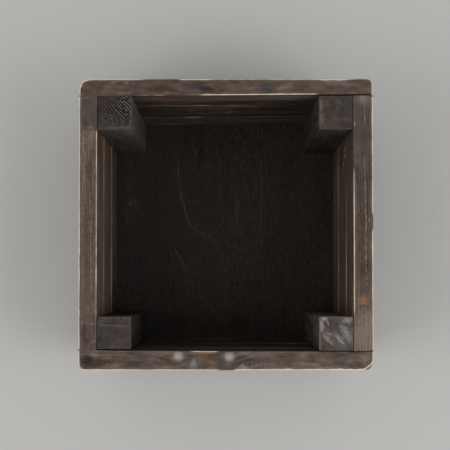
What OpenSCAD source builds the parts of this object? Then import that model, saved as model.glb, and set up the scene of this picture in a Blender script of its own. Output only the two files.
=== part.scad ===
// Open-topped wooden box. Each wall is three boards stacked edge on edge and nailed to square
// corner posts; a plywood panel is nailed on underneath. The front and back walls run the full
// width, and the side walls butt between them.
// Frame: origin at the centre of the underside, +X right, +Y back, +Z up.

/* [Box] */
// Outside width, left to right
box_w = 305; // [200:1:600]
// Outside depth, front to back
box_d = 302; // [200:1:600]

/* [Wall boards] */
// Thickness of the front wall's boards
front_t = 20; // [15:0.5:28]
// Thickness of the back wall's boards
back_t = 17; // [14:0.5:28]
// Thickness of the left wall's boards
left_t = 19; // [15:0.5:28]
// Thickness of the right wall's boards
right_t = 20.5; // [15:0.5:28]
// Height of the bottom boards
bottom_board_h = 55.5; // [45:0.5:120]
// Height of the middle boards
middle_board_h = 75; // [45:0.5:120]
// Height of the top boards
top_board_h = 60; // [45:0.5:120]
// Rounding along the boards' long edges
board_edge_r = 1.5; // [0.5:0.1:3]
// Rounding of the box's upright outside corners
corner_r = 4; // [1:0.5:10]

/* [Corner posts] */
// Side of the square corner posts
post_w = 35.5; // [31:0.5:50]
// Rounding of the posts' upright edges
post_edge_r = 1; // [0.5:0.1:3]
// Glue gap between a post and the walls and base
glue_gap = 0.2; // [0.1:0.05:0.4]

/* [Base panel] */
// Thickness of the plywood base
base_t = 12.7; // [9:0.1:19]
// Rounding of the base's upright corners
base_corner_r = 4; // [1:0.5:10]

/* [Nails] */
// Diameter of a nail's shank
nail_d = 2.8; // [2:0.1:3.4]
// Diameter of a nail's head
nail_head_d = 6.5; // [5:0.1:8]
// Thickness of a nail's head
nail_head_t = 1.2; // [0.8:0.1:2]
// Depth of a head's top below the wood's face
nail_set = 0.3; // [0:0.1:1]
// Depth that a nail goes into the second piece
nail_bite = 26; // [18:1:28]
// Length of a nail's point
nail_tip = 4; // [2:0.5:6]
// Gap round a nail in its hole
nail_clearance = 0.05; // [0.02:0.01:0.1]
// Height of a nail above or below a board's edge, before the stagger
nail_edge = 15; // [13:0.5:17]
// Height between the side walls' nails and the front and back walls' nails
nail_stagger = 7; // [5:0.5:9]
// Sideways step between the two nails of a pair
nail_pair_step = 9; // [0:0.5:12]
// Distance from a post's centre to its nail from below, along X and along Y
nail_base_step = 8; // [7.5:0.5:10]
// Number of nails from below into each wall
nails_per_base_edge = 3; // [1:1:6]

/* [Hidden] */
$fn = 48;

// Cuts start this far outside the wood, so that no skin is left
overcut = 1;

// Courses of boards, from the bottom up: heights and the heights of their lower edges
BOTTOM = 0;
MIDDLE = 1;
TOP = 2;
course_h = [bottom_board_h, middle_board_h, top_board_h];
course_z = [base_t, base_t + bottom_board_h, base_t + bottom_board_h + middle_board_h];
wall_h = bottom_board_h + middle_board_h + top_board_h;

// Inside faces of the four walls
inner_left = -box_w / 2 + left_t;
inner_right = box_w / 2 - right_t;
inner_front = -box_d / 2 + front_t;
inner_back = box_d / 2 - back_t;
side_board_len = inner_back - inner_front;

// Centres of the posts, which stand a glue gap off the walls
post_seat = glue_gap + post_w / 2;
post_left_x = inner_left + post_seat;
post_right_x = inner_right - post_seat;
post_front_y = inner_front + post_seat;
post_back_y = inner_back - post_seat;

// Free length of the walls between the posts
clear_w = post_right_x - post_left_x - post_w;
clear_d = post_back_y - post_front_y - post_w;
mid_x = (post_left_x + post_right_x) / 2;
mid_y = (post_front_y + post_back_y) / 2;

// Heights of the two nails at a board's end. The front and back walls' nails lie half a stagger
// low and the side walls' half a stagger high, so that they pass each other inside the posts.
function nail_heights(course, shift) = [
    course_z[course] + nail_edge + shift,
    course_z[course] + course_h[course] - nail_edge + shift
];

// Places of one wall's nails in one course, as [distance along the wall, height]. The lower nail
// of a pair steps towards the wall's middle and the upper one away from it.
function wall_nails(course, low_post, high_post, shift) = [
    for (end = [[low_post, 1], [high_post, -1]], row = [0, 1])
        [end[0] + end[1] * (row == 0 ? 1 : -1) * nail_pair_step / 2, nail_heights(course, shift)[row]]
];
function face_wall_nails(course) =
    wall_nails(course, post_left_x, post_right_x, -nail_stagger / 2);
function side_wall_nails(course) =
    wall_nails(course, post_front_y, post_back_y, nail_stagger / 2);

// Places of the nails from below, as [x, y]: one in each post, on the side away from the lower
// horizontal nails, and a row in the bottom board of each wall
post_base_nails = [
    for (x = [post_left_x - nail_base_step, post_right_x + nail_base_step],
         y = [post_front_y - nail_base_step, post_back_y + nail_base_step]) [x, y]
];
function spread(count, length, centre) =
    [for (i = [0:count - 1]) centre + length * ((i + 0.5) / count - 0.5)];
wall_base_nails = concat(
    [for (x = spread(nails_per_base_edge, clear_w, mid_x),
          y = [-box_d / 2 + front_t / 2, box_d / 2 - back_t / 2]) [x, y]],
    [for (y = spread(nails_per_base_edge, clear_d, mid_y),
          x = [-box_w / 2 + left_t / 2, box_w / 2 - right_t / 2]) [x, y]]
);

module rounded_rect(size, r) {
    translate([r, 0]) square([size[0] - 2 * r, size[1]]);
    translate([0, r]) square([size[0], size[1] - 2 * r]);
    for (x = [r, size[0] - r], y = [r, size[1] - r])
        translate([x, y]) circle(r = r);
}

// A nail along -Z, with the wood's face at z = 0. through is the thickness of the first piece.
module nail(through) {
    length = through + nail_bite;
    translate([0, 0, -nail_set - nail_head_t]) cylinder(d = nail_head_d, h = nail_head_t);
    translate([0, 0, nail_tip - length])
        cylinder(d = nail_d, h = length - nail_tip - nail_set - nail_head_t);
    translate([0, 0, -length]) cylinder(d1 = nail_d / 5, d2 = nail_d, h = nail_tip);
}

// The hole that a nail fills, from outside the face to just past its point
module nail_hole(through) {
    sunk = nail_set + nail_head_t + nail_clearance;
    length = through + nail_bite + nail_clearance;
    translate([0, 0, -sunk]) cylinder(d = nail_head_d + 2 * nail_clearance, h = sunk + overcut);
    translate([0, 0, -length]) cylinder(d = nail_d + 2 * nail_clearance, h = length);
}

// Put a child, drawn along -Z from z = 0, at each nail of one course of a wall
module at_front_nails(course)
    for (p = face_wall_nails(course))
        translate([p[0], -box_d / 2, p[1]]) rotate([90, 0, 0]) children();

module at_back_nails(course)
    for (p = face_wall_nails(course))
        translate([p[0], box_d / 2, p[1]]) rotate([-90, 0, 0]) children();

module at_left_nails(course)
    for (p = side_wall_nails(course))
        translate([-box_w / 2, p[0], p[1]]) rotate([0, -90, 0]) children();

module at_right_nails(course)
    for (p = side_wall_nails(course))
        translate([box_w / 2, p[0], p[1]]) rotate([0, 90, 0]) children();

module at_base_nails(places)
    for (p = places)
        translate([p[0], p[1], 0]) rotate([180, 0, 0]) children();

// Solid of a full-width board from y = 0 to y = t, with its outside at y = 0
module face_board_blank(course, t) {
    h = course_h[course];
    intersection() {
        translate([-box_w / 2, 0, 0])
            rotate([90, 0, 90])
                linear_extrude(height = box_w) rounded_rect([t, h], board_edge_r);
        linear_extrude(height = h)
            translate([-box_w / 2, 0])
                rounded_rect([box_w, t + 2 * corner_r], corner_r);
    }
}

// Solid of a board that butts between the front and back walls, from x = 0 to x = t
module side_board_blank(course, t) {
    translate([0, inner_back, 0])
        rotate([90, 0, 0])
            linear_extrude(height = side_board_len) rounded_rect([t, course_h[course]], board_edge_r);
}

module front_board(course) {
    color([0.25, 0.20, 0.17])
        difference() {
            translate([0, -box_d / 2, course_z[course]]) face_board_blank(course, front_t);
            at_front_nails(course) nail_hole(front_t + glue_gap);
            if (course == BOTTOM) at_base_nails(wall_base_nails) nail_hole(base_t);
        }
}

module back_board(course) {
    color([0.27, 0.21, 0.17])
        difference() {
            translate([0, box_d / 2, course_z[course]]) mirror([0, 1, 0]) face_board_blank(course, back_t);
            at_back_nails(course) nail_hole(back_t + glue_gap);
            if (course == BOTTOM) at_base_nails(wall_base_nails) nail_hole(base_t);
        }
}

module left_board(course) {
    color([0.29, 0.23, 0.19])
        difference() {
            translate([-box_w / 2, 0, course_z[course]]) side_board_blank(course, left_t);
            at_left_nails(course) nail_hole(left_t + glue_gap);
            if (course == BOTTOM) at_base_nails(wall_base_nails) nail_hole(base_t);
        }
}

module right_board(course) {
    color([0.26, 0.21, 0.18])
        difference() {
            translate([inner_right, 0, course_z[course]]) side_board_blank(course, right_t);
            at_right_nails(course) nail_hole(right_t + glue_gap);
            if (course == BOTTOM) at_base_nails(wall_base_nails) nail_hole(base_t);
        }
}

// A corner post, with blind holes for the nails of both its walls and for the one from below
module post(x, y) {
    color([0.22, 0.20, 0.19])
        difference() {
            translate([x - post_w / 2, y - post_w / 2, base_t + glue_gap])
                linear_extrude(height = wall_h - glue_gap) rounded_rect([post_w, post_w], post_edge_r);
            for (course = [BOTTOM, MIDDLE, TOP]) {
                if (y < mid_y) at_front_nails(course) nail_hole(front_t + glue_gap);
                if (y > mid_y) at_back_nails(course) nail_hole(back_t + glue_gap);
                if (x < mid_x) at_left_nails(course) nail_hole(left_t + glue_gap);
                if (x > mid_x) at_right_nails(course) nail_hole(right_t + glue_gap);
            }
            at_base_nails(post_base_nails) nail_hole(base_t + glue_gap);
        }
}

module base_panel() {
    color([0.13, 0.09, 0.08])
        difference() {
            translate([-box_w / 2, -box_d / 2, 0])
                linear_extrude(height = base_t) rounded_rect([box_w, box_d], base_corner_r);
            at_base_nails(post_base_nails) nail_hole(base_t + glue_gap);
            at_base_nails(wall_base_nails) nail_hole(base_t);
        }
}

module nails_front()
    color([0.16, 0.15, 0.15])
        for (course = [BOTTOM, MIDDLE, TOP]) at_front_nails(course) nail(front_t + glue_gap);

module nails_back()
    color([0.16, 0.15, 0.15])
        for (course = [BOTTOM, MIDDLE, TOP]) at_back_nails(course) nail(back_t + glue_gap);

module nails_left()
    color([0.16, 0.15, 0.15])
        for (course = [BOTTOM, MIDDLE, TOP]) at_left_nails(course) nail(left_t + glue_gap);

module nails_right()
    color([0.16, 0.15, 0.15])
        for (course = [BOTTOM, MIDDLE, TOP]) at_right_nails(course) nail(right_t + glue_gap);

module nails_base()
    color([0.16, 0.15, 0.15]) {
        at_base_nails(post_base_nails) nail(base_t + glue_gap);
        at_base_nails(wall_base_nails) nail(base_t);
    }

front_board(BOTTOM);  // front_board_bottom
front_board(MIDDLE);  // front_board_middle
front_board(TOP);  // front_board_top
back_board(BOTTOM);  // back_board_bottom
back_board(MIDDLE);  // back_board_middle
back_board(TOP);  // back_board_top
left_board(BOTTOM);  // left_board_bottom
left_board(MIDDLE);  // left_board_middle
left_board(TOP);  // left_board_top
right_board(BOTTOM);  // right_board_bottom
right_board(MIDDLE);  // right_board_middle
right_board(TOP);  // right_board_top
post(post_left_x, post_front_y);  // post_front_left
post(post_right_x, post_front_y);  // post_front_right
post(post_left_x, post_back_y);  // post_back_left
post(post_right_x, post_back_y);  // post_back_right
base_panel();
nails_front();
nails_back();
nails_left();
nails_right();
nails_base();
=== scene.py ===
from math import radians

import bpy
import numpy as np
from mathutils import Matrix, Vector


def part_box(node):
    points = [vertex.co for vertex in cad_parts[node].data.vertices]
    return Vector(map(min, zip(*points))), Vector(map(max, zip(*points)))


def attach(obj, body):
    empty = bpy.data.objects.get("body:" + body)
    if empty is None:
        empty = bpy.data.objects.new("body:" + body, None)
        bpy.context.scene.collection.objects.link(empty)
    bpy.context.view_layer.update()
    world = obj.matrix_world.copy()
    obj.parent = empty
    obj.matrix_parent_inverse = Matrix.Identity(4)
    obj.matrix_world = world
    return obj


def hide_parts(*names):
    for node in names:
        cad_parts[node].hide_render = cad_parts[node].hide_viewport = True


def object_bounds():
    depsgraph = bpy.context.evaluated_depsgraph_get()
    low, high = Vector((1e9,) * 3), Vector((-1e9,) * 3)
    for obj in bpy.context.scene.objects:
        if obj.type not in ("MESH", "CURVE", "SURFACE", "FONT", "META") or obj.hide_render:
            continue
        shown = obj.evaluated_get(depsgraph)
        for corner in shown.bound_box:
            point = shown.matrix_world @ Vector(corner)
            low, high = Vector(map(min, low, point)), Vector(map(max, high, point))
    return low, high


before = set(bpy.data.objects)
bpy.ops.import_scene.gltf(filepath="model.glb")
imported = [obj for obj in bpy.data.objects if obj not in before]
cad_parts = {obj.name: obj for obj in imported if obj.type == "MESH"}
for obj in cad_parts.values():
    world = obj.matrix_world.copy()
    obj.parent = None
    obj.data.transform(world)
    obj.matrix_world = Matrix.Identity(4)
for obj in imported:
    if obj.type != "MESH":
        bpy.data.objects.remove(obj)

cad_box = [list(map(float, corner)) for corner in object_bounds()]

# The studio: a plain pale floor, an even pale sky, a large soft lamp on either side, and
# a camera almost straight above the open box, a little in front of its middle.
MM = 0.001
FLOOR_RADIUS = 14.0
SKY_STRENGTH = 0.64
LAMP_SIZE = 1.1
LAMPS = [((1.15, -0.4, 1.7), 13.0), ((-1.15, -0.4, 1.7), 11.0)]
CAMERA_PLACE = (-0.0025, -0.061, 1.2192)
CAMERA_TILT = 1.44
CAMERA_LENS = 78.7
CAMERA_SHIFT = (0.0033, 0.0744)


class Wire:
    """One value on its way through a material. + - * and / on it add Math nodes."""

    def __init__(self, finish, socket):
        self.finish, self.socket = finish, socket

    def sum(self, operation, left, right):
        return self.finish.add("ShaderNodeMath", {"operation": operation}, {0: left, 1: right})

    def math(self, operation):
        return self.finish.add("ShaderNodeMath", {"operation": operation}, {0: self})

    def __add__(self, other):
        return self.sum("ADD", self, other)

    def __sub__(self, other):
        return self.sum("SUBTRACT", self, other)

    def __rsub__(self, other):
        return self.sum("SUBTRACT", other, self)

    def __mul__(self, other):
        return self.sum("MULTIPLY", self, other)

    def __truediv__(self, other):
        return self.sum("DIVIDE", self, other)

    __radd__, __rmul__ = __add__, __mul__


class Finish:
    """A material in the making, with its shader at the end of it."""

    def __init__(self, name):
        self.material = bpy.data.materials.new(name)
        self.material.use_nodes = True
        self.nodes = self.material.node_tree.nodes
        self.links = self.material.node_tree.links
        self.shader = self.nodes["Principled BSDF"]

    def add(self, kind, settings, sockets, output=0):
        """Adds a node of this kind: its settings first, then a value or a wire for each socket."""
        node = self.nodes.new(kind)
        for key, value in settings.items():
            if key == "stops":
                while len(node.color_ramp.elements) < len(value):
                    node.color_ramp.elements.new(0.5)
                for element, (position, colour) in zip(node.color_ramp.elements, value):
                    element.position, element.color = position, (*colour, 1)
            else:
                setattr(node, key, value)
        self.put(node, sockets)
        return Wire(self, node.outputs[output])

    def put(self, node, sockets):
        """Sets sockets of a node: a wire is linked, anything else is the socket's own value."""
        for key, value in sockets.items():
            if isinstance(value, Wire):
                self.links.new(value.socket, node.inputs[key])
            else:
                node.inputs[key].default_value = value

    def split(self, vector):
        """The three parts of a vector."""
        parts = self.add("ShaderNodeSeparateXYZ", {}, {"Vector": vector})
        return [Wire(self, output) for output in parts.socket.node.outputs]

    def fade(self, value, start, end):
        """0 before start, 1 after end, and 3t² - 2t³ between them."""
        return self.add("ShaderNodeMapRange", {"interpolation_type": "SMOOTHSTEP"},
                        {"Value": value, "From Min": start, "From Max": end})

    def blend(self, amount, first, second):
        """Colour first where amount is 0, second where it is 1."""
        pair = {0: amount}
        for key, colour in ((6, first), (7, second)):
            pair[key] = colour if isinstance(colour, Wire) else (*colour, 1)
        return self.add("ShaderNodeMix", {"data_type": "RGBA"}, pair, 2)

    def noise(self, vector, stretch, detail, roughness=0.55):
        """Cloudy noise from 0 to 1, with the vector first multiplied by stretch."""
        placed = self.add("ShaderNodeVectorMath", {"operation": "MULTIPLY"}, {0: vector, 1: stretch})
        return self.add("ShaderNodeTexNoise", {},
                        {"Vector": placed, "Scale": 1.0, "Detail": detail, "Roughness": roughness})


def pale_floor():
    """A flat disc: a ring of points at equal angles, all at height 0."""
    turn = np.linspace(0, 2 * np.pi, 96, endpoint=False)
    ring = FLOOR_RADIUS * np.stack([np.cos(turn), np.sin(turn), 0 * turn], 1)
    mesh = bpy.data.meshes.new("studio_floor")
    mesh.from_pydata(ring.tolist(), [], [list(range(len(ring)))])
    finish = Finish("studio_floor")
    place = finish.add("ShaderNodeTexCoord", {}, {}, "Object")
    cloud = finish.noise(place, (1.3, 1.3, 1.3), 3)
    finish.put(finish.shader, {
        "Base Color": finish.blend(cloud, (0.44, 0.436, 0.428), (0.47, 0.466, 0.458)), "Roughness": 0.85})
    mesh.materials.append(finish.material)
    floor = bpy.data.objects.new("studio_floor", mesh)
    bpy.context.scene.collection.objects.link(floor)


pale_floor()
scene = bpy.context.scene
scene.view_settings.view_transform = "Standard"
sky = bpy.data.worlds.new("studio_sky")
sky.use_nodes = True
sky.node_tree.nodes["Background"].inputs["Color"].default_value = (1, 0.99, 0.975, 1)
sky.node_tree.nodes["Background"].inputs["Strength"].default_value = SKY_STRENGTH
scene.world = sky
for (x, y, z), power in LAMPS:
    lamp_data = bpy.data.lights.new("soft_lamp", "AREA")
    lamp_data.shape, lamp_data.size, lamp_data.energy = "DISK", LAMP_SIZE, power
    lamp = bpy.data.objects.new("soft_lamp", lamp_data)
    lamp.location = (x, y, z)
    lamp.rotation_euler = (np.arctan2(np.hypot(x, y), z), 0, np.arctan2(x, -y))
    scene.collection.objects.link(lamp)
camera_data = bpy.data.cameras.new("camera")
camera_data.sensor_width, camera_data.lens = 36, CAMERA_LENS
camera_data.shift_x, camera_data.shift_y = CAMERA_SHIFT
camera = bpy.data.objects.new("camera", camera_data)
camera.location = CAMERA_PLACE
camera.rotation_euler = (radians(CAMERA_TILT), 0, 0)
scene.collection.objects.link(camera)
scene.camera = camera

# Front wall: three softwood boards, one above the other, planed, stained dark and rubbed back
# along their arrises. They lap over the ends of the side boards and are nailed to the posts.
SKIN_STEP = {"top": (1.05, 1.15), "middle": (1.8, 1.7), "bottom": (1.8, 1.7)}
COURSES = ("bottom", "middle", "top")
CORNER_ROUND = 4.0
RIM_HEIGHT = cad_box[1][2] / MM
MARK_KINDS = ("pale", "amber", "dark", "light", "grey", "red", "saw")
NAIL_HALF_PAIR = 4.5
NAIL_NEAR, NAIL_FAR = 11.5, 18.5
DIMPLE_DEPTH, DIMPLE_RADII = 0.75, (3.4, 4.8)
LEAST_ROUND, WORN_ROUND = 0.55, 0.6
SWELL_DEPTH, DENT_DEPTH, CUT_DEPTH = 0.22, 0.08, 0.35
PLAIN_WEAR = [(0, 0.35), (1, 0.35)]
JOINT_HEIGHTS = [67, 69, 142, 144]
JOINT_LINES = [(0, 143.2, 400, 1.2, .5), (0, 68.2, 400, 1.2, .5)]


def mesh_lines(low, high, step, close=()):
    """Places of mesh lines from low to high, in mm: 0.3 apart at both ends, growing to step
    further in, and 0.8 near each place in close. Equal parts of the integral of 1 / spacing."""
    x = np.linspace(low, high, 4001)
    gap = np.minimum(step, 0.3 + 0.22 * np.minimum(x - low, high - x))
    for place in close:
        gap = np.minimum(gap, np.where(abs(x - place) < 5.2, 0.8, step))
    each = np.diff(x) * (1 / gap[1:] + 1 / gap[:-1]) / 2
    count = np.concatenate([[0], np.cumsum(each)])
    return np.interp(np.linspace(0, count[-1], int(np.ceil(count[-1])) + 1), count, x)


def box_skin(lines):
    """Points and four-cornered faces of a closed box on three sets of mesh lines. A grid point
    is on the skin where one of its indexes is first or last, and is numbered once."""
    size = [len(line) for line in lines]
    index = np.indices(size)
    skin = np.any([(index[k] == 0) | (index[k] == size[k] - 1) for k in range(3)], axis=0)
    number = np.full(size, -1)
    number[skin] = np.arange(skin.sum())
    points = np.stack(np.meshgrid(*lines, indexing="ij"), -1)[skin]
    quads = []
    for axis in range(3):
        for end in (0, -1):
            side = np.take(number, end, axis=axis)
            quad = np.stack([side[:-1, :-1], side[1:, :-1], side[1:, 1:], side[:-1, 1:]], -1)
            quad = quad.reshape(-1, 4)
            quads.append(quad[:, ::-1] if (end == 0) != (axis == 1) else quad)
    return points, np.concatenate(quads)


def patchy(points, steps, seed):
    """Smooth random heights from 0 to 1: one for each corner of a grid of blocks of the given
    steps, blended between the eight corners round a point by 3t² - 2t³ in each direction."""
    table = np.random.default_rng(seed).random((24, 24, 24))
    place = points / np.array(steps, float)
    cell = np.floor(place).astype(int)
    part = place - cell
    part = part * part * (3 - 2 * part)
    total = 0
    for corner in np.ndindex(2, 2, 2):
        weight = np.prod(np.where(corner, part, 1 - part), axis=1)
        total = total + weight * table[tuple(((cell + corner) % 24).T)]
    return total


def smooth(value, start, end):
    """0 before start, 1 after end, and 3t² - 2t³ between them."""
    t = np.clip((value - start) / (end - start), 0, 1)
    return t * t * (3 - 2 * t)


def rounded(points, low, high, radius):
    """Rounds the arrises of a box: each point goes to the nearest point of the box shrunk by
    the radius, then back out by the radius. Also gives that direction, which is the normal."""
    core = np.clip(points, low + radius[:, None], high - radius[:, None])
    way = points - core
    way /= np.linalg.norm(way, axis=1, keepdims=True)
    return core + radius[:, None] * way, way


def knock_corner(points, normals, depth, corner, inward, radii, power, arris):
    """Rounds an upright corner in plan. About a centre inside the corner, a point outside the
    curve |x / a|^power + |y / b|^power = 1 moves in to it. Near the top arris the curve shrinks
    as the arris does. Gives each point's distance inside the curve, else infinity, and how
    slantwise it looks out, from 0 along a side to 1 half way round."""
    from_centre = inward * (corner - points[:, :2]) + radii
    part = from_centre / radii
    inside = np.all(part > 0, axis=1)
    reach = np.sum(np.abs(part) ** power, axis=1) ** (1 / power) + 1e-9
    shrink = arris - np.sqrt(np.maximum(arris**2 - np.maximum(arris - depth, 0) ** 2, 0))
    limit = 1 - shrink / radii.min(axis=1)
    move = inside & (reach > limit)
    scale = np.where(move, limit / reach, 1)
    moved = corner + inward * (radii - from_centre * scale[:, None])
    points[:, :2] = np.where(move[:, None], moved, points[:, :2])
    flat = np.linalg.norm(normals[:, :2], axis=1)
    away = -inward * part / radii
    away /= np.linalg.norm(away, axis=1, keepdims=True) + 1e-9
    normals[:, :2] = np.where(move[:, None], away * flat[:, None], normals[:, :2])
    slant = 2 * np.prod(np.abs(part), axis=1) / (np.sum(part**2, axis=1) + 1e-9)
    within = (1 - reach * scale) * radii.min(axis=1)
    return np.where(inside, within, np.inf), np.where(inside, slant, 0)


def painted(along, through, marks):
    """Strength of each kind of mark at each point: 1 in the middle of an ellipse, falling smoothly
    to 0 at 1.4 times its half length and half width. A mark is (place along, place across, half
    length, half width, strength, tilt, taper), the last two if any. Taper narrows it to a tip."""
    kinds = {kind: np.zeros(len(along)) for kind in MARK_KINDS}
    for kind, spots in marks.items():
        for s, t, half_length, half_width, strength, *turned in spots:
            tilt, taper = (*turned, 0, 0)[:2]
            cos, sin = np.cos(radians(tilt)), np.sin(radians(tilt))
            u = ((along - s) * cos + (through - t) * sin) / half_length
            v = ((through - t) * cos - (along - s) * sin) / half_width
            if taper:
                v /= 0.12 + np.clip((1 - u) / 2, 0, 1) ** taper
            spot = strength * (1 - smooth(np.hypot(u, v), 0.2, 1.4))
            kinds[kind] = np.maximum(kinds[kind], spot)
    return kinds


def scored(along, through, tracks):
    """Signed distance to the nearest scratch or crack, each a chain of straight lines, and its
    strength, which fades past its ends. A track is (strength, place, place and so on)."""
    nearest = np.full(len(along), np.inf)
    signed, strength = np.full(len(along), 50.0), np.zeros(len(along))
    for depth, *track in tracks:
        for (s0, t0), (s1, t1) in zip(track[:-1], track[1:]):
            length = np.hypot(s1 - s0, t1 - t0)
            ahead = ((along - s0) * (s1 - s0) + (through - t0) * (t1 - t0)) / length
            aside = ((through - t0) * (s1 - s0) - (along - s0) * (t1 - t0)) / length
            past = np.maximum(np.maximum(-ahead, ahead - length), 0)
            away = np.hypot(past, aside)
            here = away < nearest
            nearest[here] = away[here]
            signed[here] = aside[here]
            strength[here] = (depth * (1 - smooth(past, 0, 2.5)))[here]
    return signed, strength


def timber(node, axes, step, cross_step, seed, pith, wear, free, end_wear=(0.2, 0.2), nails=(),
           outer=0, knocks=(), marks={}, inner_marks={}, outer_marks={}, tracks=(), skew=None,
           tone=None, groove=0.14, rim_wear=None, saw=None, calm=0.0):
    """One worn piece of wood in place of a CAD node: a closed skin of mesh lines, its arrises
    rounded more where they are more worn, then pressed in by slow waves, grain grooves, dents
    and nail dimples. axes are the directions along the grain, across it and through it."""
    a, b, c = axes
    low, high = (np.array(corner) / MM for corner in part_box(node))
    lines = [None] * 3
    lines[a] = mesh_lines(low[a], high[a], step, [nail[0] for nail in nails])
    lines[b] = mesh_lines(low[b], high[b], cross_step, [nail[1] for nail in nails])
    lines[c] = mesh_lines(low[c], high[c], cross_step)
    points, quads = box_skin(lines)
    middle = (low + high) / 2
    along = points[:, a].copy()
    rough = patchy(np.stack([along / 7, along / 23, points[:, c] * 0 + seed], 1), (1, 1, 1), seed)
    side = 2 * (points[:, b] > middle[b]) + (points[:, c] > middle[c])
    levels = np.array([np.interp(along, *np.transpose(wear.get(k, PLAIN_WEAR))) for k in range(4)])
    worn = np.take_along_axis(levels, side[None], 0)[0]
    off_end = np.minimum(along - low[a], high[a] - along)
    end_worn = np.where(along < middle[a], *end_wear)
    worn = np.where(off_end < 1.6, np.where(RIM_HEIGHT - points[:, 2] < 3, end_worn, 0.2), worn)
    if rim_wear:
        sides = [gap for k in (b, c) for gap in (points[:, k] - low[k], high[k] - points[:, k])]
        nearest = np.array(rim_wear)[np.argmin(sides, axis=0)]
        worn = np.where(high[a] - points[:, a] < 3, nearest, worn)
    worn = worn * (0.78 + 0.44 * rough)
    radius = LEAST_ROUND + WORN_ROUND * np.clip(worn, 0, 2)
    points, normals = rounded(points, low, high, radius)

    gaps = np.minimum(points - low, high - points)
    pale_corner = np.zeros(len(points))
    for sign, top_radius, power, drop in knocks:
        corner = np.array([high[0] if sign[0] > 0 else low[0], high[1] if sign[1] > 0 else low[1]])
        below = RIM_HEIGHT - points[:, 2]
        near_rim = 1 - smooth(below, 0.15 * drop, drop)[:, None]
        size = CORNER_ROUND + (np.array(top_radius) - CORNER_ROUND) * near_rim
        depth = below if high[2] > RIM_HEIGHT - 1 else np.full(len(points), 99.0)
        inward = -np.array(sign, float)
        within, slant = knock_corner(points, normals, depth, corner, inward, size, power, radius)
        here = np.isfinite(within)
        gaps[here, 0], gaps[here, 1] = within[here], 99.0
        height = np.stack([below / 15, 0 * below + sign[0] + 2, 0 * below + sign[1] + 2], 1)
        chafed = 0.75 * smooth(patchy(height, (1, 1, 1), seed + 6), 0.4, 0.75)
        chafed = np.maximum(1 - smooth(below, 0, 0.8 * drop), chafed)
        pale_corner = np.maximum(pale_corner, slant * chafed)
    gaps.sort(axis=1)
    arris = np.hypot(gaps[:, 0], gaps[:, 1])

    freedom = np.zeros(len(points))
    for k, axis in enumerate((a, b, c)):
        amount = np.where(normals[:, axis] > 0, free[k][1], free[k][0])
        freedom += normals[:, axis] ** 2 * amount
    local = points[:, [a, b, c]]
    depth = SWELL_DEPTH * patchy(local, (85, 33, 33), seed + 1)
    depth += groove * patchy(local, (46, 1.9, 1.9), seed + 2)
    depth += DENT_DEPTH * patchy(local, (9, 7, 7), seed + 3)
    depth *= freedom
    for nail_along, nail_across in nails:
        far = np.hypot(points[:, a] - nail_along, points[:, b] - nail_across)
        facing = normals[:, c] * outer > 0.5
        depth += np.where(facing, DIMPLE_DEPTH * (1 - smooth(far, *DIMPLE_RADII)), 0)

    spots_on = np.maximum(normals[:, 2], 0) ** 2
    first, second = [k for k in (a, b, c) if k != 2]
    kinds = painted(points[:, first], points[:, second], marks)
    kinds = {kind: spot * spots_on for kind, spot in kinds.items()}
    for way, side_marks in ((-outer, inner_marks), (outer, outer_marks)):
        facing = np.maximum(way * normals[:, c], 0) ** 2
        for kind, spot in painted(along, points[:, b], side_marks).items():
            kinds[kind] += spot * facing
    signed, scoring = scored(points[:, first], points[:, second], tracks)
    depth += spots_on * CUT_DEPTH * scoring * (1 - smooth(np.abs(signed), 0.2, 1.3))
    if saw:
        spacing, tilt = saw
        cos, sin = np.cos(radians(tilt)), np.sin(radians(tilt))
        stroke = (points[:, b] * cos + points[:, c] * sin) / spacing
        stroke += 0.7 * patchy(local, (99, 9, 9), seed + 4)
        stroke_along = points[:, c] * cos - points[:, b] * sin
        depth += CUT_DEPTH * (0.5 + 0.5 * np.sin(2 * np.pi * stroke)) * kinds["saw"]
        depth += 0.1 * spots_on * patchy(local, (9, 1.4, 1.4), seed + 5)
    points -= normals * depth[:, None]
    if skew:
        skew(points, normals)

    grain = (points - middle)[:, [a, b, c]] + np.array([37.0 * seed, *pith])
    shade = tone(points, normals) if tone else np.zeros(len(points))
    kinds["pale"] = np.maximum(kinds["pale"], 0.9 * pale_corner * rough)
    mesh = bpy.data.meshes.new("worn_" + node)
    mesh.vertices.add(len(points))
    mesh.vertices.foreach_set("co", (points * MM).ravel())
    mesh.loops.add(quads.size)
    mesh.loops.foreach_set("vertex_index", quads.ravel())
    mesh.polygons.add(len(quads))
    mesh.polygons.foreach_set("loop_start", np.arange(0, quads.size, 4))
    mesh.polygons.foreach_set("use_smooth", np.ones(len(quads), bool))
    mesh.update(calc_edges=True)
    columns = {
        "grain": grain,
        "arris": np.stack([arris, worn, kinds["amber"]], 1),
        "marks": np.stack([kinds["pale"], kinds["grey"], kinds["red"]], 1),
        "tone": np.stack([shade + kinds["light"] - kinds["dark"], spots_on, normals[:, 2] ** 2], 1),
        "score": np.stack([signed, scoring * spots_on, calm * spots_on], 1),
    }
    if saw:
        columns["saw"] = np.stack([stroke_along, kinds["saw"], stroke], 1)
    for name, column in columns.items():
        mesh.attributes.new(name, "FLOAT_VECTOR", "POINT").data.foreach_set(
            "vector", column.astype(np.float32).ravel())
    piece = bpy.data.objects.new("worn_" + node, mesh)
    scene.collection.objects.link(piece)
    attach(piece, "root")
    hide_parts(node)
    return piece


AMBER, RESIN = (0.255, 0.112, 0.054), (0.60, 0.32, 0.15)
WASHED = (0.15, 0.108, 0.08)
DULL_PINE, BARE_PINE, PINE_FIBRE = (0.15, 0.112, 0.085), (0.68, 0.58, 0.485), (0.32, 0.245, 0.185)
KERF_SHADOW = (0.006, 0.005, 0.0045)


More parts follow.
